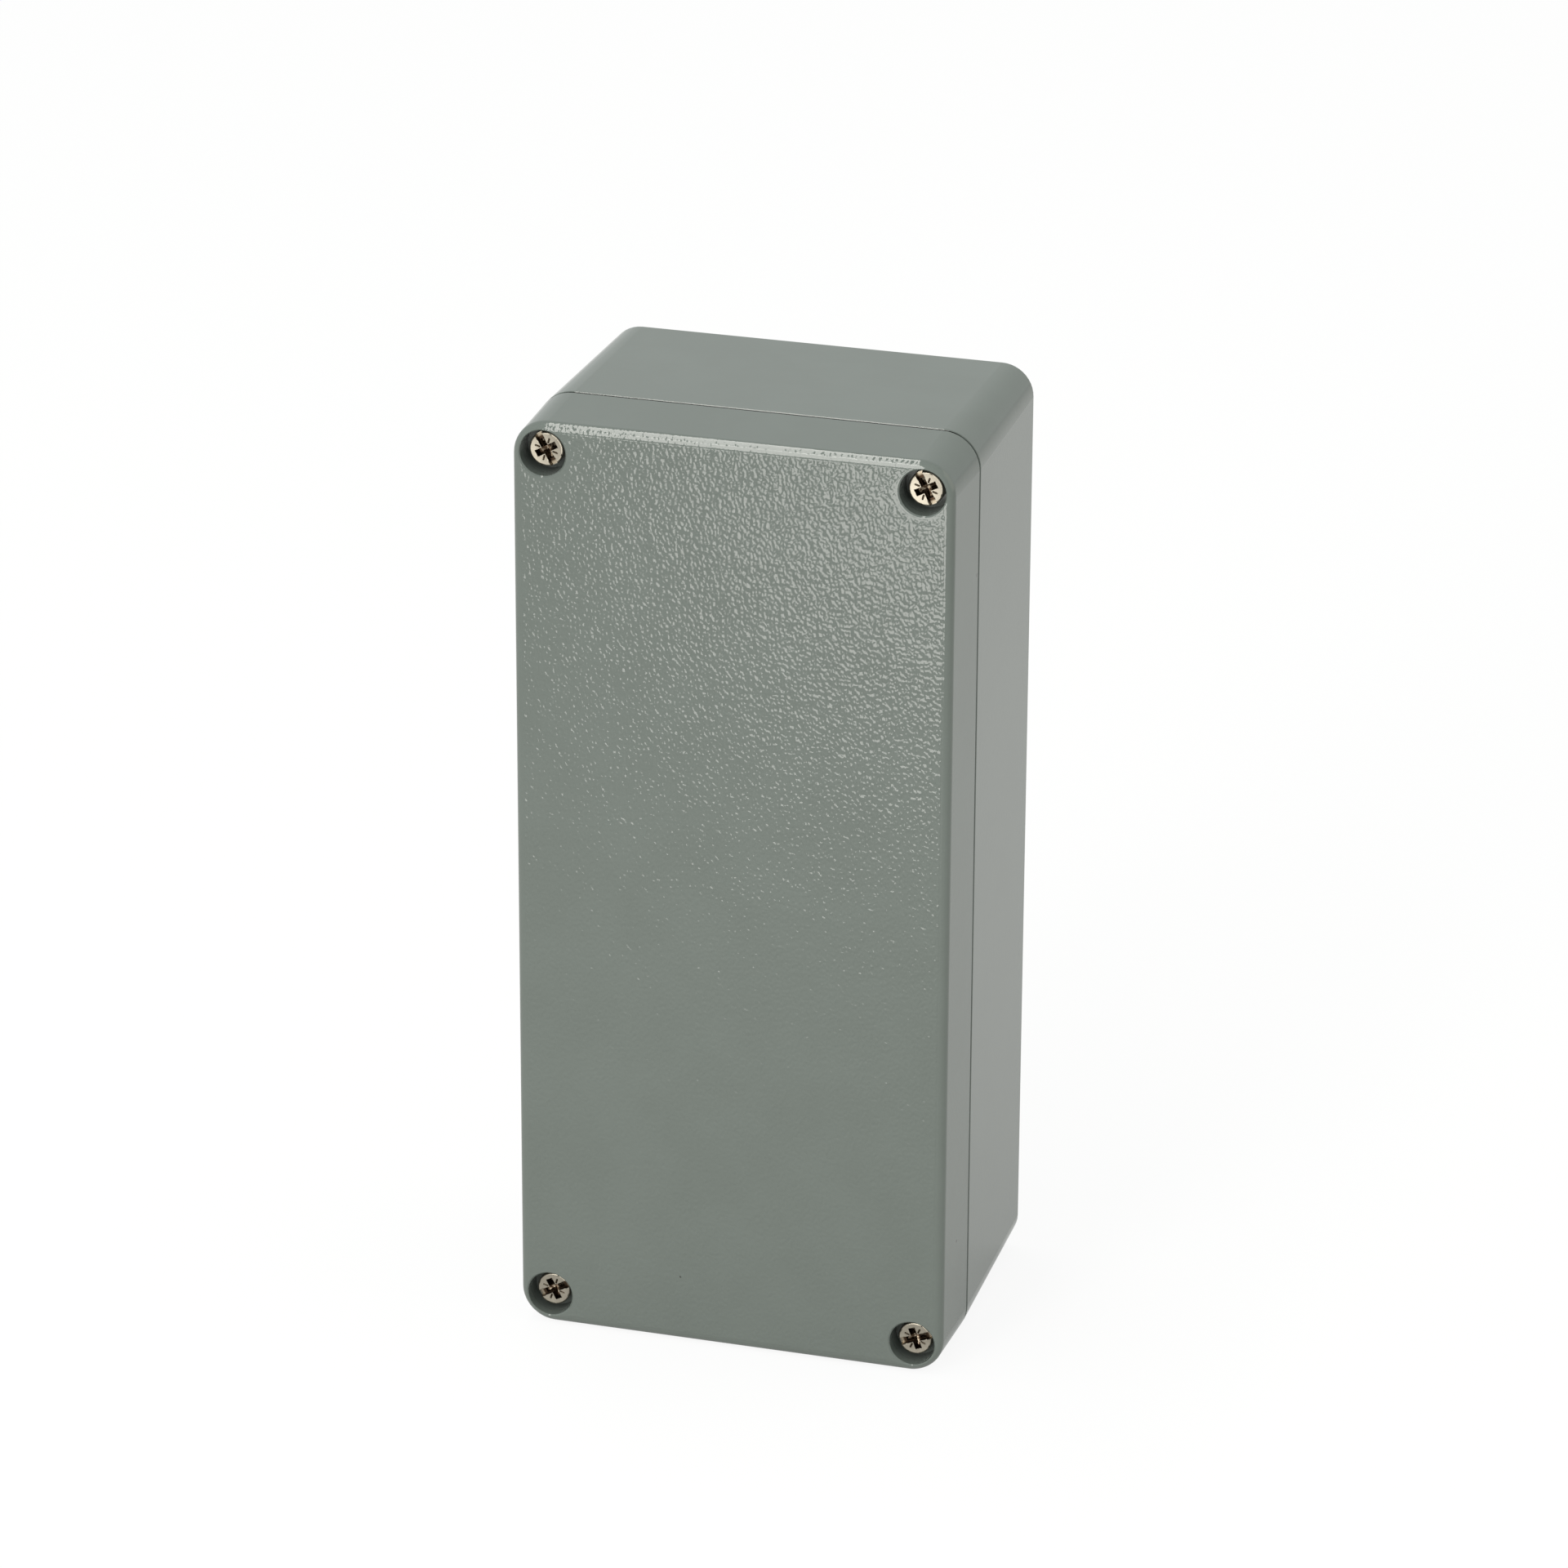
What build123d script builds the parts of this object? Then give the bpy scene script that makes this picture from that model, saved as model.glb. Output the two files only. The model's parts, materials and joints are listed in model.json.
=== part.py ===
from build123d import *
import os

# A powder-coated die-cast box with a screwed lid, standing on its short end.
# It is drawn lying on its back: x across, y along the height, z from the back face to the front face.
# stand() then turns it upright, with the lid towards -Y and the origin under the middle of the box.

# Closed box, measured at the rims where base and lid meet
width = 80.5
height = 175.0
depth = 56.5
lid_depth = 16.3
corner_radius = 6.7
rim_gap = 0.65  # the rims stand this far apart, because only the screw bosses meet
base_rim_radius = 0.22
lid_rim_radius = 0.1

# Outside of the castings
base_draft = 1.2
lid_draft = 1.6
front_edge_radius = 1.6
back_edge_radius = 0.8

# Walls
side_wall = 3.5
back_wall = 3.0
front_wall = 3.0
cavity_draft = 1.0
cavity_corner_radius = 2.0
cavity_floor_radius = 1.0

# Fixing holes through the back, each at the bottom of a well in a corner pillar.
# Every inset is from the outside of the closed box to the middle of the hole, screw or boss.
fixing_inset_x = 14.25
fixing_inset_z = 6.0
fixing_hole_diameter = 4.8
fixing_well_diameter = 8.5
fixing_floor = 5.0
pillar_radius = 7.0
lid_core_diameter = 6.4
lid_core_depth = 10.0

# Seal: a tongue on the base presses into a gasket in the lid's groove
tongue_width = 1.4
tongue_height = 2.6
tongue_inset = 0.1
tongue_chamfer = 0.3
groove_width = 2.4
gasket_height = 2.4
gasket_side_gap = 0.05
lid_rib_width = 1.5

# Lid screws: cylindrical heads sunk in counterbores, held by retaining rings
screw_inset_x = 6.0
screw_inset_z = 6.05
screw_diameter = 4.0
screw_length = 16.0
screw_tip_chamfer = 0.5
head_diameter = 6.3
head_height = 2.6
head_edge_radius = 0.35
head_sink = 2.3  # front face to the top of the head
counterbore_diameter = 8.4
counterbore_edge_radius = 0.25
screw_hole_clearance = 0.25
shoulder_thickness = 2.0
thread_clearance = 0.05
thread_hole_depth = 9.0
boss_diameter = 9.2
ring_pocket_diameter = 7.8
ring_diameter = 7.2
ring_thickness = 1.2
screw_pitch = 0.7
screw_turns = 9.0
mouth_chamfer = 0.3

# Drive in the screw head: a slot, a cross of equal wings and four fine ticks between them
slot_width = 1.25
slot_depth = 0.9
cross_span = 4.2
cross_wing = 1.25
cross_depth = 1.7
cross_draft = 10.0
tick_length = 0.9
tick_width = 0.22
tick_depth = 0.15
tick_start = 1.2
slot_angles = {"top_left": 119.0, "top_right": 117.0, "bottom_left": 27.0, "bottom_right": 20.0}

# Tapped bosses on the inside of the back, for a rail or a board
rail_inset_x = 15.25
rail_inset_z = 27.5
rail_boss_diameter = 8.0
rail_boss_height = 7.0
rail_hole_diameter = 3.3
rail_hole_depth = 7.5

# Earth terminals inside the base and the lid
earth_boss_diameter = 9.0
earth_boss_height = 5.0
earth_inset_x = 26.25
earth_base_inset_z = 49.5
earth_lid_inset_z = 73.5
earth_screw_length = 7.0
earth_screw_diameter = 4.0
earth_head_diameter = 7.6
earth_head_height = 2.6
earth_head_edge_radius = 0.8
earth_washer_diameter = 9.0
earth_washer_thickness = 0.8
earth_spring_diameter = 7.0
earth_spring_thickness = 1.1
earth_spring_split = 0.9
earth_hole_depth = 6.5

# Worked out from the values above
parting = depth - lid_depth
rim = parting + rim_gap
cavity_x = width / 2 - side_wall
cavity_y = height / 2 - side_wall
pillar_x = width / 2 - fixing_inset_x - pillar_radius
pillar_y = height / 2 - fixing_inset_z - pillar_radius
groove_inset = tongue_inset + tongue_width / 2 - groove_width / 2
groove_top = parting + tongue_height + gasket_height
lid_cavity_inset = groove_inset - lid_rib_width
under_head = depth - head_sink - head_height
shoulder_bottom = under_head - shoulder_thickness
ring_travel = screw_turns * screw_pitch
ring_top = shoulder_bottom - ring_travel


def at_corners(inset_x, inset_y):
    """Four places by name, each at these insets from the sides of the box."""
    x, y = width / 2 - inset_x, height / 2 - inset_y
    return {"top_left": (-x, y), "top_right": (x, y), "bottom_left": (-x, -y), "bottom_right": (x, -y)}


fixing_places = at_corners(fixing_inset_x, fixing_inset_z)
screw_places = at_corners(screw_inset_x, screw_inset_z)
rail_places = at_corners(rail_inset_x, rail_inset_z)
earth_base_place = at_corners(earth_inset_x, earth_base_inset_z)["bottom_right"]
earth_lid_place = at_corners(earth_inset_x, earth_lid_inset_z)["bottom_right"]


def rod(diameter, low, high, place=(0, 0)):
    """A round bar along z."""
    return Pos(place[0], place[1], low) * extrude(Circle(diameter / 2), amount=high - low)


def countersunk(diameter, low, mouth, place, chamfer_size):
    """The space of a round hole that opens at its mouth, with a small chamfer there."""
    cone = Cone(diameter / 2, diameter / 2 + chamfer_size, chamfer_size)
    return rod(diameter, low, mouth, place) + Pos(place[0], place[1], mouth - chamfer_size / 2) * cone


def cavity_loop(offset, corner, pillar):
    """The cavity's outline grown by an offset: a rectangle that steps in round the four corner pillars."""
    x, y, in_x, in_y = cavity_x + offset, cavity_y + offset, pillar_x + offset, pillar_y + offset
    quarter = [(x, in_y), (in_x, in_y), (in_x, y)]
    points = quarter + [(-a, b) for a, b in reversed(quarter)]
    points += [(-a, -b) for a, b in quarter] + [(a, -b) for a, b in reversed(quarter)]
    outline = Polygon(*points, align=None)
    inner = [v for v in outline.vertices() if abs(v.X) < x - corner and abs(v.Y) < y - corner]
    outline = fillet(inner, pillar)
    outer = [v for v in outline.vertices() if min(abs(abs(v.X) - x), abs(abs(v.Y) - y)) < 1e-6]
    return fillet(outer, corner)


def seal_loop(offset):
    """A loop that runs beside the cavity's edge at an even distance."""
    return cavity_loop(offset, cavity_corner_radius + offset, pillar_radius - offset)


def band(inset, band_width, low, high):
    """A closed band that follows the seal."""
    return Pos(0, 0, low) * extrude(seal_loop(inset + band_width) - seal_loop(inset), amount=high - low)


def drafted(outline, length, draft, start, to_back=False):
    """A prism that narrows with the draft, towards the front face or towards the back face."""
    prism = extrude(outline, amount=length, taper=draft)
    return Pos(0, 0, start) * (Rot(180, 0, 0) * prism if to_back else prism)


def rounded_rims(shell, rim_radius, far_radius, to_back=False):
    """Rounds a casting's outer edges, at the rim and at the far face."""
    levels = shell.edges().group_by(Axis.Z)
    at_rim, at_face = (levels[-1], levels[0]) if to_back else (levels[0], levels[-1])
    return fillet(at_rim, rim_radius).fillet(far_radius, at_face)


def hollow(length, start, offset, pillar, to_back=False):
    """The space inside a casting, drafted, with a rounded edge at its floor."""
    loop = cavity_loop(offset, cavity_corner_radius, pillar)
    space = drafted(loop, length, cavity_draft, start, to_back)
    floor_edges = space.edges().group_by(Axis.Z)[0 if to_back else -1]
    return space.fillet(cavity_floor_radius, floor_edges)


def enclosure_base():
    """The deep casting: walls, corner pillars, fixing holes, tongue and bosses."""
    outline = RectangleRounded(width, height, corner_radius)
    shell = drafted(outline, parting, base_draft, parting, to_back=True)
    shell = rounded_rims(shell, base_rim_radius, back_edge_radius, to_back=True)
    shell -= hollow(parting - back_wall, parting, 0, pillar_radius, to_back=True)
    tongue = band(tongue_inset, tongue_width, parting, parting + tongue_height)
    shell += tongue.chamfer(tongue_chamfer, None, tongue.edges().group_by(Axis.Z)[-1])
    for place in fixing_places.values():
        shell -= rod(fixing_hole_diameter, 0, fixing_floor, place)
        shell -= countersunk(fixing_well_diameter, fixing_floor, parting, place, mouth_chamfer)
    for place in screw_places.values():
        bottom = parting - thread_hole_depth
        shell -= countersunk(screw_diameter + 2 * thread_clearance, bottom, parting, place, mouth_chamfer)
    for place in rail_places.values():
        top = back_wall + rail_boss_height
        shell += rod(rail_boss_diameter, back_wall / 2, top, place)
        shell -= rod(rail_hole_diameter, top - rail_hole_depth, top, place)
    top = back_wall + earth_boss_height
    shell += rod(earth_boss_diameter, back_wall / 2, top, earth_base_place)
    shell -= rod(earth_screw_diameter + 2 * thread_clearance, top - earth_hole_depth, top, earth_base_place)
    return shell


def enclosure_lid():
    """The shallow casting: plate, sunk screw seats, gasket groove and screw bosses."""
    outline = RectangleRounded(width, height, corner_radius)
    shell = drafted(outline, depth - rim, lid_draft, rim)
    shell = rounded_rims(shell, lid_rim_radius, front_edge_radius)
    shell -= hollow(depth - front_wall - rim, rim, lid_cavity_inset, pillar_radius)
    shell -= band(groove_inset, groove_width, rim, groove_top)
    for place in screw_places.values():
        shell += rod(boss_diameter, parting, shoulder_bottom, place)
        shell -= rod(ring_pocket_diameter, parting, shoulder_bottom, place)
        shell -= rod(screw_diameter + 2 * screw_hole_clearance, shoulder_bottom, under_head, place)
        shell -= countersunk(counterbore_diameter, under_head, depth, place, counterbore_edge_radius)
    for place in fixing_places.values():
        shell -= rod(lid_core_diameter, rim, rim + lid_core_depth, place)
    low = depth - front_wall - earth_boss_height
    shell += rod(earth_boss_diameter, low, depth - front_wall / 2, earth_lid_place)
    shell -= rod(earth_screw_diameter + 2 * thread_clearance, low, low + earth_hole_depth, earth_lid_place)
    return shell


def lid_gasket():
    """The rubber cord that fills the top of the lid's groove."""
    inset, gasket_width = groove_inset + gasket_side_gap, groove_width - 2 * gasket_side_gap
    return band(inset, gasket_width, groove_top - gasket_height, groove_top)


def drive_recess():
    """The space cut into a screw head, with its slot along x and its mouth at z = 0."""
    slot = Pos(0, 0, -slot_depth) * extrude(Rectangle(head_diameter + 1, slot_width), amount=slot_depth + 1)
    wing = extrude(Rectangle(cross_span, cross_wing), amount=cross_depth, taper=cross_draft)
    wing = Rot(180, 0, 0) * wing
    recess = slot + wing + Rot(0, 0, 90) * wing
    tick = Pos(tick_start + tick_length / 2, 0, 0) * Box(tick_length, tick_width, 2 * tick_depth)
    for turn in (45, 135, 225, 315):
        recess += Rot(0, 0, turn) * tick
    return recess


def lid_screw(place, angle):
    """A screw with a rounded cylindrical head, seated on the lid's shoulder."""
    top = under_head + head_height
    head = rod(head_diameter, under_head, top)
    head = head.fillet(head_edge_radius, head.edges().group_by(Axis.Z)[-1])
    shank = rod(screw_diameter, under_head - screw_length, under_head)
    shank = shank.chamfer(screw_tip_chamfer, None, shank.edges().group_by(Axis.Z)[0])
    screw = head + shank - Pos(0, 0, top) * drive_recess()
    return Pos(place[0], place[1], 0) * Rot(0, 0, angle) * screw


def retaining_ring(place):
    """The ring that keeps a loosened screw in the lid."""
    ring = rod(ring_diameter, ring_top - ring_thickness, ring_top, place)
    return ring - rod(screw_diameter + 2 * thread_clearance, ring_top - ring_thickness, ring_top, place)


def earth_terminal(place, seat, to_back):
    """A pan-head screw, a spring washer and a plain washer, stacked on a boss."""
    bore = earth_screw_diameter + 2 * thread_clearance
    spring_low = earth_washer_thickness
    head_low = spring_low + earth_spring_thickness
    washer = rod(earth_washer_diameter, 0, spring_low) - rod(bore, 0, spring_low)
    spring = rod(earth_spring_diameter, spring_low, head_low) - rod(bore, spring_low, head_low)
    split = Box(earth_spring_diameter, earth_spring_split, earth_spring_thickness, align=Align.MIN)
    spring -= Pos(0, -earth_spring_split / 2, spring_low) * split
    head = rod(earth_head_diameter, head_low, head_low + earth_head_height)
    head = head.fillet(earth_head_edge_radius, head.edges().group_by(Axis.Z)[-1])
    screw = head + rod(earth_screw_diameter, head_low - earth_screw_length, head_low)
    screw -= Pos(0, 0, head_low + earth_head_height) * drive_recess()
    turn = Rot(180, 0, 0) if to_back else Rot(0, 0, 0)
    seated = Pos(place[0], place[1], seat) * turn
    return {"screw": seated * screw, "spring_washer": seated * spring, "plain_washer": seated * washer}


def stand(piece):
    """Turns a piece from lying on its back to standing, with the lid towards -Y."""
    return Pos(0, depth / 2, height / 2) * Rot(90, 0, 0) * piece


pieces = {"enclosure_base": enclosure_base(), "enclosure_lid": enclosure_lid(), "lid_gasket": lid_gasket()}
for corner_name, corner_place in screw_places.items():
    pieces[f"lid_screw_{corner_name}"] = lid_screw(corner_place, slot_angles[corner_name])
    pieces[f"retaining_ring_{corner_name}"] = retaining_ring(corner_place)
base_seat = back_wall + earth_boss_height
lid_seat = depth - front_wall - earth_boss_height
for name, terminal in {
    "base": earth_terminal(earth_base_place, base_seat, to_back=False),
    "lid": earth_terminal(earth_lid_place, lid_seat, to_back=True),
}.items():
    for part_name, piece in terminal.items():
        pieces[f"{name}_earth_{part_name}"] = piece

os.makedirs("parts", exist_ok=True)
for name, piece in pieces.items():
    export_step(stand(piece), f"parts/{name}.step")
    print(name, round(piece.volume, 1))
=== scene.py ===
import json
import math
import bpy
import numpy as np
from mathutils import Matrix, Vector


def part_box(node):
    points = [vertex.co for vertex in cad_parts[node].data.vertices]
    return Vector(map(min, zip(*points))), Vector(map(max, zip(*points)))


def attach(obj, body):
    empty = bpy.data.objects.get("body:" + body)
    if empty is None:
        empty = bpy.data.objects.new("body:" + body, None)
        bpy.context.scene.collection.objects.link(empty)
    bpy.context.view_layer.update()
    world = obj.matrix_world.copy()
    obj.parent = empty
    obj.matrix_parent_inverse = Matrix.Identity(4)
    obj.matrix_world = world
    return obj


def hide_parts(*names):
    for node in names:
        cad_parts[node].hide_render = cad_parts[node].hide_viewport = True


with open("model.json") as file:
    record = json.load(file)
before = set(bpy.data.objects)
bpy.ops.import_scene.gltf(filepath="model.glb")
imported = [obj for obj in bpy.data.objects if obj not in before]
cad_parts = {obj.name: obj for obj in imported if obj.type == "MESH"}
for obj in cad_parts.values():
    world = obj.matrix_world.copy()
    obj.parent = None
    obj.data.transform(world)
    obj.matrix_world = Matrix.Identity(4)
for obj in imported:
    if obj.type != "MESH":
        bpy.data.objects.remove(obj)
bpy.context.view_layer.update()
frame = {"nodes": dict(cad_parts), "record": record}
mm = 0.001
corners = ("top_left", "top_right", "bottom_left", "bottom_right")
lidLow, lidHigh = (np.array(corner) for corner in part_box("enclosure_lid"))
baseLow, baseHigh = (np.array(corner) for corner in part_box("enclosure_base"))
screwLow, screwHigh = (np.array(corner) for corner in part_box("lid_screw_top_right"))
middleZ = (lidLow[2] + lidHigh[2]) / 2
halfWidth, halfHeight = lidHigh[0], (lidHigh[2] - lidLow[2]) / 2
screwX, screwZ = (screwLow[0] + screwHigh[0]) / 2, (screwLow[2] + screwHigh[2]) / 2 - middleZ
bodyNodes = frame["record"]["behaviour"]["bodies"]
print("frame loaded,", len(frame["nodes"]), "nodes")


class Wire:  # a shader socket: operators add Math nodes, and node() adds any other node
    def __init__(self, tree, socket=None):
        self.tree, self.socket = tree, socket

    def node(self, kind, settings=(), sockets=(), out=0):
        new = self.tree.nodes.new("ShaderNode" + kind)
        for name, value in dict(settings).items():
            setattr(new, name, value)
        for name, value in dict(sockets).items():
            if isinstance(value, Wire):
                self.tree.links.new(value.socket, new.inputs[name])
            else:
                new.inputs[name].default_value = value
        return Wire(self.tree, new.outputs[out])

    def math(self, operation, *others):
        return self.node("Math", {"operation": operation}, dict(enumerate((self, *others))))

    def __add__(self, other): return self.math("ADD", other)
    def __sub__(self, other): return self.math("SUBTRACT", other)
    def __mul__(self, other): return self.math("MULTIPLY", other)
    def __rsub__(self, other): return self.node("Math", {"operation": "SUBTRACT"}, {0: other, 1: self})
    def __abs__(self): return self.math("ABSOLUTE")
    __radd__, __rmul__ = __add__, __mul__

    def least(self, other): return self.math("MINIMUM", other)
    def most(self, other): return self.math("MAXIMUM", other)

    def step(self, low, high):  # 0 at low, 1 at high, smooth between them
        return self.node("MapRange", {"interpolation_type": "SMOOTHSTEP"}, {0: self, 1: low, 2: high, 3: 0.0, 4: 1.0})

    def noise(self, size, detail=2.0, rough=0.5, twist=0.0):  # lumps of about this size in metres, 0 to 1
        return self.node("TexNoise", {}, {"Vector": self, "Scale": 1 / size, "Detail": detail,
                                          "Roughness": rough, "Distortion": twist})

    def blend(self, first, second):  # a colour between two colours, by this factor
        return self.node("Mix", {"data_type": "RGBA"}, {0: self, 6: first, 7: second}, out=2)

    def axes(self):
        split = self.tree.nodes.new("ShaderNodeSeparateXYZ")
        self.tree.links.new(self.socket, split.inputs[0])
        return [Wire(self.tree, output) for output in split.outputs]


def newFinish(name, fixed, build):  # fixed numbers go on the shader's own sockets, build(place) gives the rest
    finish = bpy.data.materials.new(name)
    finish.use_nodes = True
    tree = finish.node_tree
    shader = tree.nodes["Principled BSDF"]
    for socket, value in fixed.items():
        shader.inputs[socket].default_value = value
    place = Wire(tree).node("TexCoord", out=3)
    for socket, wire in build(place).items():
        tree.links.new(wire.socket, shader.inputs[socket])
    print("finish", name)
    return finish


def bump(place, height, depth=1.0):  # depth in metres for a height of 1
    return place.node("Bump", {}, {"Strength": 1.0, "Distance": depth, "Height": height})


# the castings: a coat on the outside and in the counterbores, bare metal inside, and painted shade in the parting gap
# and down the counterbores
coat = {
    "colour": (0.125, 0.144, 0.131, 1), "paler": (0.131, 0.151, 0.138, 1), "flowSize": 14 * mm, "roughness": 0.055,
    "grainSize": 0.45 * mm, "grainDepth": 0.001 * mm,
    "speck": (0.03, 0.032, 0.03, 1), "speckSize": 3.0 * mm, "speckEdge": (0.845, 0.86),
    "cornerRadius": 6.7 * mm,
    # it ends between these distances: in from the sides, in from the front or back, off a screw's axis, past its face
    "endInward": (1.6 * mm, 2.4 * mm), "endFromFaces": (1.2 * mm, 2.2 * mm),
    "endBore": (4.35 * mm, 4.5 * mm), "endSeat": (3.0 * mm, 3.5 * mm),
    "ragged": 1.2 * mm, "raggedSize": 1.6 * mm,
}
leather = {
    "size": 0.57 * mm, "depth": 0.118 * mm, "drawnTall": 0.8, "bend": 0.4 * mm, "bendSize": 2.2 * mm,
    "onFillet": 0.27, "onSides": 0.06, "fillet": (0.3 * mm, 1.2 * mm), "mouth": (4.6 * mm, 5.6 * mm),
    "flatBorder": 1.99 * mm, "flatBlend": (-0.1 * mm, 0.3 * mm), "ridgeHeight": 0.009 * mm, "ridgeWidth": 0.24 * mm,
    "mouthRidge": 4.55 * mm, "mouthRidgeWidth": 0.34 * mm,
}
# painted shade: a near black down in the gap between the lid's rim and the base's, and a darkening down the
# counterbores towards the heads
paintedShade = {
    "colour": (0.012, 0.012, 0.011, 1), "rimGap": 0.65 * mm, "rimBlend": 0.08 * mm,
    "gapFrom": (0.08 * mm, 0.2 * mm), "gapTo": (0.4 * mm, 0.6 * mm),  # how far in from the sides
    "besideGap": 0.12, "nearEnds": (1.2 * mm, 0.4 * mm),  # full at the top and bottom, this share at the sides
    "seatRadius": (4.3 * mm, 4.36 * mm), "seatFrom": (0.8 * mm, 2.8 * mm), "seatTo": (2.8 * mm, 3.2 * mm),
    "seatShare": 0.3, "seatRoughness": 0.25,
}
bare = {"colour": (0.56, 0.57, 0.58, 1), "shade": (0.36, 0.37, 0.38, 1), "roughness": 0.42,
        "blotchSize": 2.5 * mm, "flowShare": 0.6}


def inwardDistance(place):
    # how far in from the sides, whose outline is a rectangle with round corners: past the middle of a corner's arc
    # in both directions it is the radius less the reach from that middle, elsewhere the distance to the nearer side
    x, y, z = place.axes()
    pastX = abs(x) - (halfWidth - coat["cornerRadius"])
    pastZ = abs(z - middleZ) - (halfHeight - coat["cornerRadius"])
    reach = (pastX.most(0.0) * pastX.most(0.0) + pastZ.most(0.0) * pastZ.most(0.0)).math("SQRT")
    return coat["cornerRadius"] - reach - pastX.most(pastZ).least(0.0)


def fromScrewAxis(place):  # distance from the nearest lid screw's axis, by symmetry
    x, y, z = place.axes()
    asideX, asideZ = abs(x) - screwX, abs(z - middleZ) - screwZ
    return (asideX * asideX + asideZ * asideZ).math("SQRT")


def between(distance, start, reach):  # 0 up to start plus the first of reach, 1 from start plus the second
    return distance.step(start + reach[0], start + reach[1])


def coatMask(place, inward, away):  # 1 on the coated outside and in the counterbores, 0 on the bare inside
    x, y, z = place.axes()
    ragged = (place.noise(coat["raggedSize"], detail=3) - 0.5) * coat["ragged"]
    fromFaces = (y - lidLow[1]).least(baseHigh[1] - y)
    coated = (1 - (inward + ragged).step(*coat["endInward"])).most(1 - (fromFaces + ragged).step(*coat["endFromFaces"]))
    return coated.most((1 - away.step(*coat["endBore"])) * (1 - between(y, screwLow[1], coat["endSeat"])))


def ridge(distance, start, width):  # 0 before start, 1 half a width later, 0 again after a whole one
    return distance.step(start, start + width / 2) - distance.step(start + width / 2, start + width)


def coatRelief(place, y, inward, away):
    # the leather is a noise, drawn a little tall and bent by a coarser one. It is full on the lid's flat front, weak
    # on the fillet round it and nearly gone on the sides. The coat's ridges run along the flat's border and the mouths.
    onFront = 1 - between(y, lidLow[1], leather["fillet"])
    onFlat = between(inward, leather["flatBorder"], leather["flatBlend"]) * away.step(*leather["mouth"])
    weaker = leather["onFillet"] - leather["onSides"] + onFlat * (1 - leather["onFillet"])
    amount = leather["onSides"] + onFront * weaker
    tall = place.node("VectorMath", {"operation": "MULTIPLY"}, {0: place, 1: (1.0, 1.0, leather["drawnTall"])})
    bend = place.node("TexNoise", {}, {"Vector": place, "Scale": 1 / leather["bendSize"]}, out=1)
    bend = bend.node("VectorMath", {"operation": "SCALE"}, {0: bend, "Scale": leather["bend"]})
    bent = bend.node("VectorMath", {"operation": "ADD"}, {0: tall, 1: bend})
    creases = bent.noise(leather["size"], detail=0.4, twist=0.2) * amount
    ridges = ridge(inward, leather["flatBorder"], leather["ridgeWidth"])
    ridges = (ridges + ridge(away, leather["mouthRidge"], leather["mouthRidgeWidth"])) * onFront
    grain = place.noise(coat["grainSize"], rough=0.6)
    return creases * leather["depth"] + ridges * leather["ridgeHeight"] + grain * coat["grainDepth"]


# painted shade: the gap between the lid's rim and the base's is coloured near black, full at the top and bottom and a
# share of it at the sides
def paintedGapShade(y, z, inward):  # 1 down in the gap between the lid's rim and the base's
    rim, lip, blend = lidHigh[1], lidHigh[1] - paintedShade["rimGap"], paintedShade["rimBlend"]
    behindLip = y.step(lip - blend, lip) * (1 - y.step(rim, rim + blend))
    nearEnds = abs(z - middleZ).step(*(halfHeight - away for away in paintedShade["nearEnds"]))
    share = paintedShade["besideGap"] + (1 - paintedShade["besideGap"]) * nearEnds
    return inward.step(*paintedShade["gapFrom"]) * (1 - inward.step(*paintedShade["gapTo"])) * behindLip * share


# painted shade: the counterbore's coat darkens from its mouth towards the head
def paintedSeatShade(y, away):  # 1 in a counterbore, growing from its mouth to the head
    before = 1 - between(y, screwLow[1], paintedShade["seatTo"])
    return (1 - away.step(*paintedShade["seatRadius"])) * before * between(y, lidLow[1], paintedShade["seatFrom"])


def castingFinish(place):
    x, y, z = place.axes()
    inward, away = inwardDistance(place), fromScrewAxis(place)
    coated, inSeat = coatMask(place, inward, away), paintedSeatShade(y, away)
    flow = place.noise(coat["flowSize"], detail=3, rough=0.6)
    specks = place.noise(coat["speckSize"], detail=1, rough=0.3).step(*coat["speckEdge"])
    colour = specks.blend(flow.step(0.3, 0.7).blend(coat["colour"], coat["paler"]), coat["speck"])
    # painted shade: near black in the parting gap, and a share of it down the counterbores
    colour = paintedGapShade(y, z, inward).most(inSeat * paintedShade["seatShare"]).blend(colour, paintedShade["colour"])
    blotches = place.noise(bare["blotchSize"], detail=4, rough=0.7)
    blotches = (flow * bare["flowShare"] + blotches * (1 - bare["flowShare"])).step(0.3, 0.7)
    rougher = coat["roughness"] + inSeat * paintedShade["seatRoughness"] - bare["roughness"]
    return {
        "Base Color": coated.blend(blotches.blend(bare["shade"], bare["colour"]), colour),
        "Roughness": bare["roughness"] + coated * rougher,
        "Metallic": 1 - coated,
        "Normal": bump(place, coatRelief(place, y, inward, away)),
    }


casting = newFinish("powderCoatedCasting", {"Specular IOR Level": 0.5}, castingFinish)
for name in ("enclosure_base", "enclosure_lid"):
    mesh = frame["nodes"][name].data
    mesh.materials.clear()
    mesh.materials.append(casting)

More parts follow.
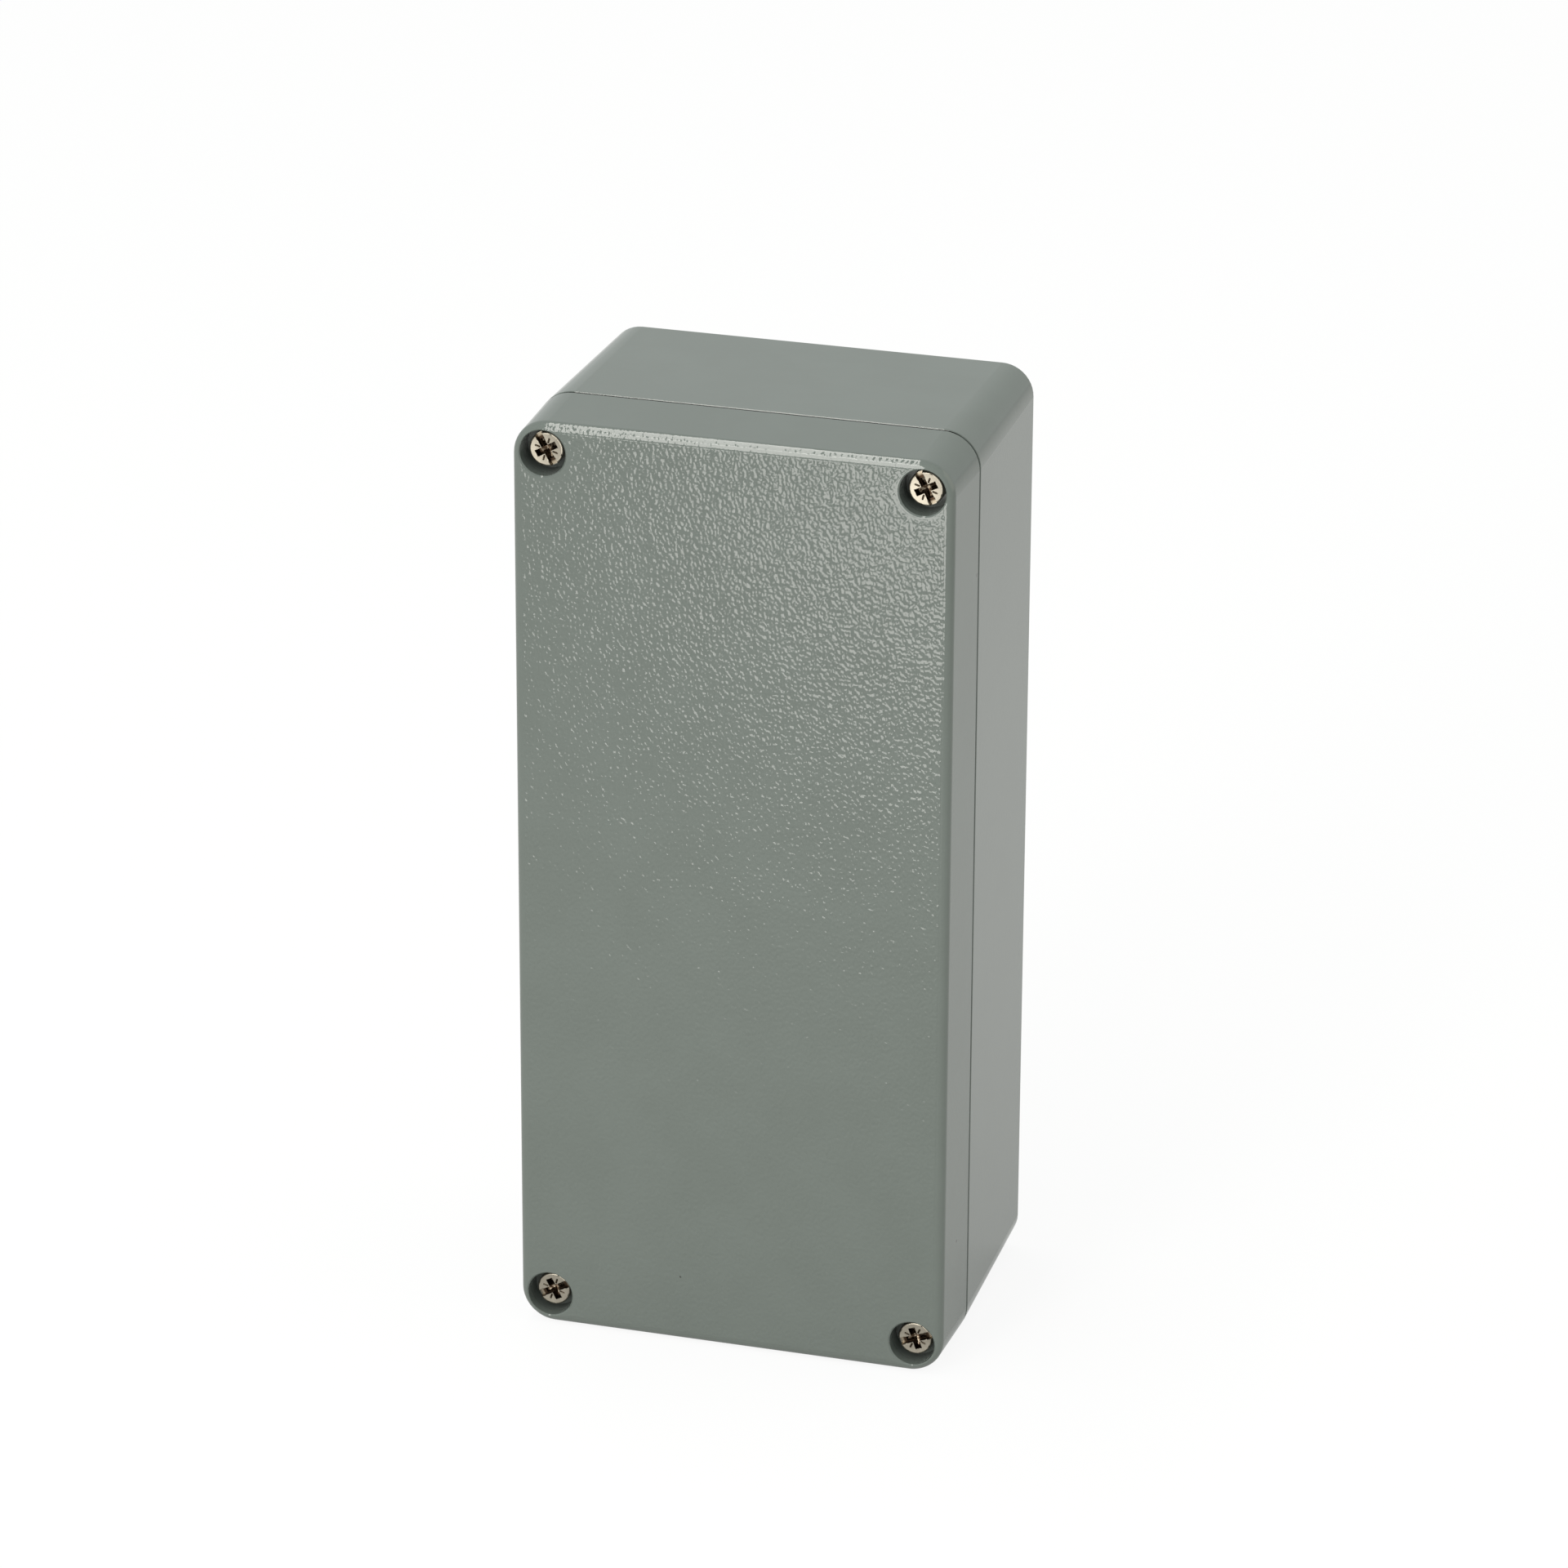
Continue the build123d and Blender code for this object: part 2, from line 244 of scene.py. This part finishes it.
# metals, rubber and plastic: each look has a mottle between two colours and a fine bump
steel = {
    "dull": (0.315, 0.287, 0.236, 1), "bright": (0.365, 0.334, 0.277, 1), "roughness": 0.3,
    # the drive's colours: a dark brown that is partly tarnish and partly painted shade, with paler mottles and paler
    # slot ends where less shade is painted
    "inDrive": (0.05, 0.032, 0.02, 1), "mottle": (0.24, 0.2, 0.15, 1), "slotEnd": (0.34, 0.29, 0.22, 1),
    "mottleSize": 0.5 * mm, "mottleEdge": (0.46, 0.62),
    # depths behind the head's face, and radii
    "driveFrom": (0.13 * mm, 0.28 * mm), "mottleFrom": (0.95 * mm, 1.3 * mm), "driveTo": (2.25 * mm, 2.45 * mm),
    "slotEndFrom": (2.3 * mm, 2.75 * mm), "headRadius": (2.95 * mm, 3.1 * mm),
}
zinc = {"dull": (0.5, 0.51, 0.52, 1), "bright": (0.68, 0.69, 0.7, 1), "roughness": 0.2}
machined = {"cloudSize": 1.3 * mm, "cloudRoughness": 0.14, "toolMarks": 0.12 * mm, "toolMarkDepth": 0.002 * mm}
rubberLook = {"dull": (0.02, 0.02, 0.021, 1), "bright": (0.034, 0.034, 0.036, 1), "roughness": 0.62,
              "mottleSize": 3 * mm, "grainSize": 0.35 * mm, "grainDepth": 0.01 * mm, "detail": 3, "rough": 0.6}
plasticLook = {"dull": (0.72, 0.71, 0.66, 1), "bright": (0.82, 0.81, 0.77, 1), "roughness": 0.42,
               "mottleSize": 2 * mm, "grainSize": 0.5 * mm, "grainDepth": 0.006 * mm, "detail": 2, "rough": 0.5}


def machinedFinish(place, look):
    cloud = place.noise(machined["cloudSize"], detail=3, rough=0.6)
    marks = place.noise(machined["toolMarks"], rough=0.6)
    return {
        "Base Color": cloud.step(0.25, 0.75).blend(look["dull"], look["bright"]),
        "Roughness": look["roughness"] + cloud * machined["cloudRoughness"],
        "Normal": bump(place, marks, machined["toolMarkDepth"]),
    }


# the brown in the drive is partly tarnish and partly painted shade, lighter in mottles at its bottom and at the slot's
# ends
def screwFinish(place):  # machined steel, dark brown in the drive, mottled at its bottom, greyer at the slot's ends
    x, y, z = place.axes()
    finish, sunk, away = machinedFinish(place, steel), y - screwLow[1], fromScrewAxis(place)
    mottles = place.noise(steel["mottleSize"], detail=1, rough=0.4).step(*steel["mottleEdge"])
    inDrive = (sunk.step(*steel["mottleFrom"]) * mottles).blend(steel["inDrive"], steel["mottle"])
    inDrive = away.step(*steel["slotEndFrom"]).blend(inDrive, steel["slotEnd"])
    within = (1 - away.step(*steel["headRadius"])) * (1 - sunk.step(*steel["driveTo"]))
    finish["Base Color"] = (sunk.step(*steel["driveFrom"]) * within).blend(finish["Base Color"], inDrive)
    return finish


def mouldedFinish(place, look):
    mottle = place.noise(look["mottleSize"], look["detail"], look["rough"])
    grain = place.noise(look["grainSize"], look["detail"], look["rough"])
    return {"Base Color": mottle.blend(look["dull"], look["bright"]), "Normal": bump(place, grain, look["grainDepth"])}


stainless = newFinish("stainlessSteel", {"Metallic": 1.0}, screwFinish)
plated = newFinish("platedSteel", {"Metallic": 1.0}, lambda place: machinedFinish(place, zinc))
rubber, plastic = (newFinish(name, {"Roughness": look["roughness"]}, lambda place: mouldedFinish(place, look))
                   for name, look in (("gasketRubber", rubberLook), ("ringPlastic", plasticLook)))

crispAngle = math.radians(38)  # edges sharper than this aren't smoothed


def surfacePiece(name, shells, finish):
    # a shell is a list of patches, each an open (rows, columns, 3) grid. Patches are turned outwards by their volume
    # about the shell's middle, and welded where their points meet, which closes seams and poles.
    points, quads, count = [], [], 0
    for patches in shells:
        middle = np.concatenate([patch.reshape(-1, 3) for patch in patches]).mean(0)
        for patch in patches:
            index = np.arange(patch.shape[0] * patch.shape[1]).reshape(patch.shape[:2])
            four = np.stack([index[:-1, :-1], index[:-1, 1:], index[1:, 1:], index[1:, :-1]], -1).reshape(-1, 4)
            flat = patch.reshape(-1, 3)
            spoke = flat[np.concatenate([four[:, [0, 1, 2]], four[:, [0, 2, 3]]])] - middle
            if np.einsum("ij,ij->i", spoke[:, 0], np.cross(spoke[:, 1], spoke[:, 2])).sum() < 0:
                four = four[:, ::-1]
            points.append(flat)
            quads.append(four + count)
            count += len(flat)
    welded, where = np.unique(np.round(np.concatenate(points), 8), axis=0, return_inverse=True)
    corner = where.ravel()[np.concatenate(quads)]
    twin = corner == np.roll(corner, -1, 1)  # a quad with one such edge is a triangle, and with more it is nothing
    faces = corner[twin.sum(1) == 0].tolist()
    faces += corner[twin.sum(1) == 1][~twin[twin.sum(1) == 1]].reshape(-1, 3).tolist()
    mesh = bpy.data.meshes.new(name)
    mesh.from_pydata(welded.tolist(), [], faces)
    mesh.polygons.foreach_set("use_smooth", np.ones(len(faces), bool))
    mesh.set_sharp_from_angle(angle=crispAngle)
    mesh.materials.append(finish)
    mesh.update()
    piece = bpy.data.objects.new(name + "_piece", mesh)
    bpy.context.scene.collection.objects.link(piece)
    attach(piece, next(body for body, nodes in bodyNodes.items() if name in nodes))
    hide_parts(name)
    print("piece", name, len(faces), "faces")


def onAxis(grid, node, facing):  # local z comes out of the node's head, towards -Y where facing is -1
    low, high = (np.array(corner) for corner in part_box(node))
    headY = low[1] if facing < 0 else high[1]
    x, y, z = np.moveaxis(grid, -1, 0)
    return np.stack([(low[0] + high[0]) / 2 + x, headY + facing * z, (low[2] + high[2]) / 2 - facing * y], -1)


def spun(profile, columns=96):  # a profile of (radius, z) carried once round the z axis
    angle = np.linspace(0, 2 * np.pi, columns + 1)
    angle[-1] = 0
    radius, z = np.array(profile).T[:, :, None]
    return np.stack([radius * np.cos(angle), radius * np.sin(angle), z + 0 * angle], -1)


def roundedBlock(low, high, radius, count=5):
    # the outline of a rectangle from low to high: four quarter circles, each round a corner moved in by the radius
    quarter = np.radians(np.linspace(0, 90, count))
    arcs = []
    for step, (right, up) in enumerate(((1, 1), (0, 1), (0, 0), (1, 0))):
        x, y = (high[0] - radius if right else low[0] + radius), (high[1] - radius if up else low[1] + radius)
        angle = quarter + step * math.pi / 2
        arcs.append(np.array([x, y]) + radius * np.column_stack([np.cos(angle), np.sin(angle)]))
    outline = np.concatenate(arcs)
    return np.concatenate([outline, outline[:1]])


# the screws: a head with its drive, and a threaded shank, in the head's own coordinates
drive = {
    "slotWidth": 1.28 * mm, "slotDepth": 0.9 * mm, "crossSpan": 4.2 * mm, "crossWing": 1.28 * mm,
    "crossDepth": 1.3 * mm, "coneDepth": 0.7 * mm, "crossDraft": math.radians(10), "edge": 0.06 * mm,
    "tickStart": 1.2 * mm, "tickLength": 0.9 * mm, "tickWidth": 0.22 * mm, "tickDepth": 0.2 * mm, "dish": 0.12 * mm,
}
lidScrew = {
    "diameter": 4.0 * mm, "rootDiameter": 3.15 * mm, "pitch": 0.7 * mm, "tipChamfer": 0.5 * mm,
    "headDiameter": 6.3 * mm, "headHeight": 2.6 * mm, "headEdge": 0.35 * mm, "length": 16.0 * mm,
    "rootFlat": 0.12, "flank": 0.74,  # shares of half a pitch
    "neckLength": 1.4 * mm, "neckRunOut": 0.7 * mm, "neckOverRoot": 0.12 * mm, "intoHead": 0.3 * mm,
    "slotAngles": dict(zip(corners, (119.0, 117.0, 27.0, 20.0))),
}
earthScrew = {**lidScrew, "headDiameter": 7.6 * mm, "headEdge": 0.8 * mm, "length": 7.0 * mm, "slotAngle": 35.0}
screwMesh = {"headLines": 75, "closestLines": 0.02 * mm, "squareUpTo": 0.6, "edgeFrom": 12, "edgeRows": 7,
             "sideRows": 6, "sideInset": (0.2 * mm, 0.1 * mm), "shankRow": 0.07 * mm, "columns": 64}


def recessDepth(x, y):
    # how deep the drive is at a place on the head: a steep-sided slot along x, a cross whose walls slope by its
    # draft down to a cone, and four thin ticks between the wings. The deepest of them counts.
    inSlot = np.clip((drive["slotWidth"] / 2 - abs(y)) / drive["edge"] + 0.5, 0, 1)
    insideCross = np.maximum(np.minimum(drive["crossSpan"] / 2 - abs(x), drive["crossWing"] / 2 - abs(y)),
                             np.minimum(drive["crossSpan"] / 2 - abs(y), drive["crossWing"] / 2 - abs(x)))
    floor = drive["crossDepth"] + drive["coneDepth"] * (1 - np.hypot(x, y) / (drive["crossSpan"] / 2))
    cross = np.clip(insideCross / math.tan(drive["crossDraft"]), 0, floor)
    along, aside = (abs(x) + abs(y)) / math.sqrt(2), abs(abs(x) - abs(y)) / math.sqrt(2)
    inTick = np.clip((drive["tickWidth"] / 2 - aside) / drive["edge"] + 0.5, 0, 1)
    inTick = inTick * (along > drive["tickStart"]) * (along < drive["tickStart"] + drive["tickLength"])
    return np.maximum(np.maximum(drive["slotDepth"] * inSlot, cross), drive["tickDepth"] * inTick)


def headLines(half):  # grid lines across the head, close together beside the walls of the slot and the cross
    wall, reach, edge = drive["slotWidth"] / 2, drive["crossSpan"] / 2, drive["edge"]
    foot = wall - drive["crossDepth"] * math.tan(drive["crossDraft"])
    near = [at + shift * edge for at in (wall, reach) for shift in (-0.5, 0.0, 0.5)] + [foot]
    near = np.array(near + [-value for value in near])
    even = np.linspace(-half, half, screwMesh["headLines"])
    even = even[np.min(abs(even[:, None] - near), 1) > screwMesh["closestLines"]]
    return np.unique(np.concatenate([even, near, [-half, half]]))


def screwHead(look):
    # a square grid eased into a disc: each place keeps its direction, and near the rim its reach is scaled from
    # the square's to the circle's. A skirt carries the rim down a rounded edge and the side to the underside.
    radius, edge, height = look["headDiameter"] / 2, look["headEdge"], look["headHeight"]
    lines = headLines(radius - edge)
    x, y = np.meshgrid(lines, lines, indexing="ij")
    widest, reach = np.maximum(abs(x), abs(y)), np.hypot(x, y) + 1e-12
    squareUpTo = screwMesh["squareUpTo"]
    ease = np.clip((widest / (radius - edge) - squareUpTo) / (1 - squareUpTo), 0, 1) ** 2
    scale = 1 + ease * (widest / reach - 1)
    x, y = x * scale, y * scale
    dish = drive["dish"] * np.clip(1 - (x * x + y * y) / (radius - edge) ** 2, 0, 1)
    cap = np.stack([x, y, -dish - recessDepth(x, y)], -1)
    rim = np.concatenate([cap[0], cap[1:, -1], cap[-1, -2::-1], cap[-2::-1, 0]])
    turn = np.radians(np.linspace(screwMesh["edgeFrom"], 90, screwMesh["edgeRows"]))
    below, above = screwMesh["sideInset"]  # the side's rows start below the edge and end above the underside
    side = np.linspace(-edge - below, above - height, screwMesh["sideRows"])
    ringRadius = np.concatenate([radius - edge + edge * np.sin(turn), radius + 0 * side, [radius - above, 0]])
    ringZ = np.concatenate([edge * np.cos(turn) - edge, side, [-height] * 2])
    outward = rim[:, :2] / np.linalg.norm(rim[:, :2], axis=1)[:, None]
    place = ringRadius[:, None, None] * outward
    z = np.minimum(ringZ[:, None], -recessDepth(place[..., 0], place[..., 1]) * (ringZ[:, None] > -height))
    return [cap, np.concatenate([rim[None], np.concatenate([place, z[..., None]], -1)])]


def screwShank(look):
    # a bar whose radius follows a triangle wave of height over pitch less angle over a turn, which makes a
    # right-hand thread. It fades into a plain neck under the head and into a cone at the tip.
    top, bottom = look["intoHead"] - look["headHeight"], -look["headHeight"] - look["length"]
    angle = np.linspace(0, 2 * np.pi, screwMesh["columns"] + 1)[None]
    z = np.append(np.arange(top, bottom, -screwMesh["shankRow"]), bottom)[:, None]
    wave = abs(2 * ((z / look["pitch"] - angle / (2 * np.pi)) % 1) - 1)
    crest, root = look["diameter"] / 2, look["rootDiameter"] / 2
    neck = np.clip((z + look["headHeight"] + look["neckLength"]) / look["neckRunOut"], 0, 1)
    thread = (crest - root) * np.clip((wave - look["rootFlat"]) / look["flank"], 0, 1)
    radius = root + thread * (1 - neck) + look["neckOverRoot"] * neck
    radius = np.minimum(radius, crest - look["tipChamfer"] + z - bottom)
    radius, z = np.pad(radius, ((1, 1), (0, 0))), np.concatenate([[[top]], z, [[bottom]]])
    grid = np.stack([radius * np.cos(angle), radius * np.sin(angle), z + 0 * angle], -1)
    grid[:, -1] = grid[:, 0]
    return [grid]


def screwPiece(name, look, finish, facing, turn):
    cosine, sine = math.cos(math.radians(turn)), math.sin(math.radians(turn))
    turning = np.array([[cosine, sine, 0], [-sine, cosine, 0], [0, 0, 1]])
    shells = [screwHead(look), screwShank(look)]
    placed = [[onAxis(patch @ turning, name, facing) for patch in shell] for shell in shells]
    surfacePiece(name, placed, finish)


for name in corners:
    screwPiece(f"lid_screw_{name}", lidScrew, stainless, -1, lidScrew["slotAngles"][name])
for place, facing in (("base", -1), ("lid", 1)):
    screwPiece(f"{place}_earth_screw", earthScrew, plated, facing, earthScrew["slotAngle"])

# washers and retaining rings: a rounded block carried round the screw
rings = {"bore": 4.1 * mm, "ringEdge": 0.3 * mm, "plainEdge": 0.12 * mm, "springEdge": 0.15 * mm,
         "splitWidth": 0.9 * mm, "splitSlant": 0.5 * mm, "springColumns": 90}


def ringSection(node, radius):  # a rounded block from the bore to the node's outside, over the node's thickness
    low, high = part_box(node)
    thick = high[1] - low[1]
    return roundedBlock((rings["bore"] / 2, -thick), ((high[2] - low[2]) / 2, 0), radius), thick


def springWasher(node):  # the section goes round from one end of the split to the other, and each end leans with z
    section, thick = ringSection(node, rings["springEdge"])
    radius, z = section.T[:, :, None]
    lean = (z / thick + 0.5) * rings["splitSlant"] / radius
    gap = rings["splitWidth"] / 2 / radius
    angle = gap + lean + (2 * np.pi - 2 * gap) * np.linspace(0, 1, rings["springColumns"])
    grid = np.stack([radius * np.cos(angle), radius * np.sin(angle), z + 0 * angle], -1)
    ends = [np.repeat(grid[:-1, column].mean(0)[None, None], len(section), 0) for column in (0, -1)]
    return np.concatenate([ends[0], grid, ends[1]], 1)


for name in corners:
    node = f"retaining_ring_{name}"
    section, thick = ringSection(node, rings["ringEdge"])
    surfacePiece(node, [[onAxis(spun(section), node, -1)]], plastic)
for place, facing in (("base", -1), ("lid", 1)):
    node = f"{place}_earth_plain_washer"
    section, thick = ringSection(node, rings["plainEdge"])
    surfacePiece(node, [[onAxis(spun(section), node, facing)]], plated)
    node = f"{place}_earth_spring_washer"
    surfacePiece(node, [[onAxis(springWasher(node), node, facing)]], plated)

# the gasket
seal = {"cavityInset": 3.5 * mm, "pillarInsetX": 21.25 * mm, "pillarInsetZ": 13.0 * mm, "outward": 0.8 * mm,
        "cornerRadius": 2.8 * mm, "pillarRadius": 6.2 * mm, "width": 2.3 * mm, "edge": 0.45 * mm}


def sealPath(count=9):
    # the middle of the groove: a rectangle that steps in round the four pillars, each of its twelve corners a
    # quarter circle. Gives the places and the directions that point out of the loop.
    outerX, outerZ = (half - seal["cavityInset"] + seal["outward"] for half in (halfWidth, halfHeight))
    innerX = halfWidth - seal["pillarInsetX"] + seal["outward"]
    innerZ = halfHeight - seal["pillarInsetZ"] + seal["outward"]
    quarter = np.array([[outerX, innerZ], [innerX, innerZ], [innerX, outerZ]])
    corner = np.concatenate([quarter, quarter[::-1] * [-1, 1], quarter * [-1, -1], quarter[::-1] * [1, -1]])
    back, ahead = np.roll(corner, 1, 0) - corner, np.roll(corner, -1, 0) - corner
    back, ahead = (way / np.linalg.norm(way, axis=1)[:, None] for way in (back, ahead))
    bend = np.sign(back[:, 0] * ahead[:, 1] - back[:, 1] * ahead[:, 0])[:, None, None]  # -1 at the outer corners
    radius = np.where(bend < 0, seal["cornerRadius"], seal["pillarRadius"])
    turn = np.linspace(0, np.pi / 2, count)[None, :, None]
    spoke = ahead[:, None] * np.cos(turn) + back[:, None] * np.sin(turn)
    place = (corner[:, None] + radius * (back + ahead)[:, None] - radius * spoke).reshape(-1, 2)
    return place, (spoke * bend).reshape(-1, 2)


gasketLow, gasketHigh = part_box("lid_gasket")
place, outward = sealPath()
section = roundedBlock((-seal["width"] / 2, gasketLow[1]), (seal["width"] / 2, gasketHigh[1]), seal["edge"])
across, height = section.T[:, None, :, None]
flat = place[:, None] + outward[:, None] * across
grid = np.stack([flat[..., 0], height[..., 0] + 0 * flat[..., 0], flat[..., 1] + middleZ], -1)
surfacePiece("lid_gasket", [[np.concatenate([grid, grid[:1]])]], rubber)

# the floor and the world show white to the camera, less of it to shiny surfaces, and light the object plainly
stage = {
    "floorHalf": 6.0, "shownColour": (0.9, 0.9, 0.9, 1), "bounceColour": (0.5, 0.5, 0.49, 1), "shadowShare": 0.1,
    "floorMirrored": 0.45, "skyMirrored": 0.25, "skyLight": 0.71, "skyColour": (0.95, 1.0, 0.975, 1),
}


def shownRays(tree, mirroredShare):  # 1 for rays from the camera or through glass, a share by way of a shiny surface
    rays = Wire(tree).node("LightPath")
    mirrored, through = (Wire(tree, rays.socket.node.outputs[f"Is {kind} Ray"]) for kind in ("Glossy", "Transmission"))
    return rays.most(through).most(mirrored * mirroredShare)


half = stage["floorHalf"]
floorMesh = bpy.data.meshes.new("floor")
floorMesh.from_pydata([(-half, -half, 0), (half, -half, 0), (half, half, 0), (-half, half, 0)], [], [(0, 1, 2, 3)])
floor = bpy.data.objects.new("floor", floorMesh)
bpy.context.scene.collection.objects.link(floor)
paper = bpy.data.materials.new("whitePaper")
paper.use_nodes = True
tree = paper.node_tree
tree.nodes.remove(tree.nodes["Principled BSDF"])
shown = shownRays(tree, stage["floorMirrored"])
shade = Wire(tree).node("BsdfDiffuse", {}, {"Color": shown.blend(stage["bounceColour"], stage["shownColour"])})
glow = Wire(tree).node("Emission", {}, {"Strength": 1.0})
mixed = shade.node("MixShader", {}, {0: shown * (1 - stage["shadowShare"]), 1: shade, 2: glow})
tree.links.new(mixed.socket, tree.nodes["Material Output"].inputs["Surface"])
floorMesh.materials.append(paper)

world = bpy.data.worlds.new("studio")
bpy.context.scene.world = world
world.use_nodes = True
tree = world.node_tree
seen = shownRays(tree, stage["skyMirrored"])
strength = seen * (1 - stage["skyLight"]) + stage["skyLight"]
tinted = seen.blend(stage["skyColour"], (1.0, 1.0, 1.0, 1))
tree.links.new(strength.socket, tree.nodes["Background"].inputs["Strength"])
tree.links.new(tinted.socket, tree.nodes["Background"].inputs["Color"])

warm, warmer = (1.0, 0.975, 0.93), (1.0, 0.93, 0.76)
lamps = {  # azimuth counts from the lid's side towards +X, in degrees, and aside is a shift to the lamp's right
    "frontBox": {"azimuth": 0, "elevation": 24.5, "away": 1.5, "aside": -0.335, "size": (0.37, 1.25),
                 "radiance": 7.4, "colour": warm},
    "topBox": {"azimuth": 0, "elevation": 80, "away": 1.4, "aside": -0.3925, "size": (0.175, 2.2),
               "radiance": 7.4, "colour": warm},
    "sideBox": {"azimuth": 108, "elevation": 22, "away": 1.8, "aside": 0, "size": (1.8, 1.5),
                "radiance": 0.75, "colour": warmer},
    "lowBox": {"azimuth": 0, "elevation": -4, "away": 0.35, "aside": 0, "size": (0.17, 0.085),
               "radiance": 5.5, "colour": warm},
}
aim = Vector((0, 0, middleZ))
for name, look in lamps.items():
    lamp = bpy.data.lights.new(name, "AREA")
    lamp.shape, lamp.size, lamp.size_y = "RECTANGLE", *look["size"]
    lamp.energy = look["radiance"] * math.pi * lamp.size * lamp.size_y
    lamp.color = look["colour"]
    turn = Matrix.Rotation(math.radians(look["azimuth"]), 4, "Z")
    tilt = Matrix.Rotation(math.radians(90 - look["elevation"]), 4, "X")
    holder = bpy.data.objects.new(name, lamp)
    holder.matrix_world = Matrix.Translation(aim) @ turn @ tilt @ Matrix.Translation((look["aside"], 0, look["away"]))
    bpy.context.scene.collection.objects.link(holder)

view = {"azimuth": 16.335, "elevation": 22.4765, "roll": 0.2739, "away": 1242.7519 * mm, "right": 5.0034 * mm,
        "up": 15.8798 * mm, "lens": 159.515, "sensor": 36, "target": Vector((0, -12.25 * mm, 87.5 * mm))}
azimuth, elevation, roll = (math.radians(view[name]) for name in ("azimuth", "elevation", "roll"))
back = Vector((math.sin(azimuth) * math.cos(elevation), -math.cos(azimuth) * math.cos(elevation), math.sin(elevation)))
right = Vector((0, 0, 1)).cross(back).normalized()
up = back.cross(right)
right, up = right * math.cos(roll) + up * math.sin(roll), up * math.cos(roll) - right * math.sin(roll)
camera = bpy.data.objects.new("camera", bpy.data.cameras.new("camera"))
camera.data.lens, camera.data.sensor_width = view["lens"], view["sensor"]
camera.data.clip_start, camera.data.clip_end = 0.05, 50
camera.matrix_world = Matrix((right, up, back)).transposed().to_4x4()
camera.matrix_world.translation = view["target"] + back * view["away"] + right * view["right"] + up * view["up"]
bpy.context.scene.collection.objects.link(camera)
bpy.context.scene.camera = camera
bpy.context.scene.view_settings.view_transform = "Standard"
print("stage, lamps and camera set")
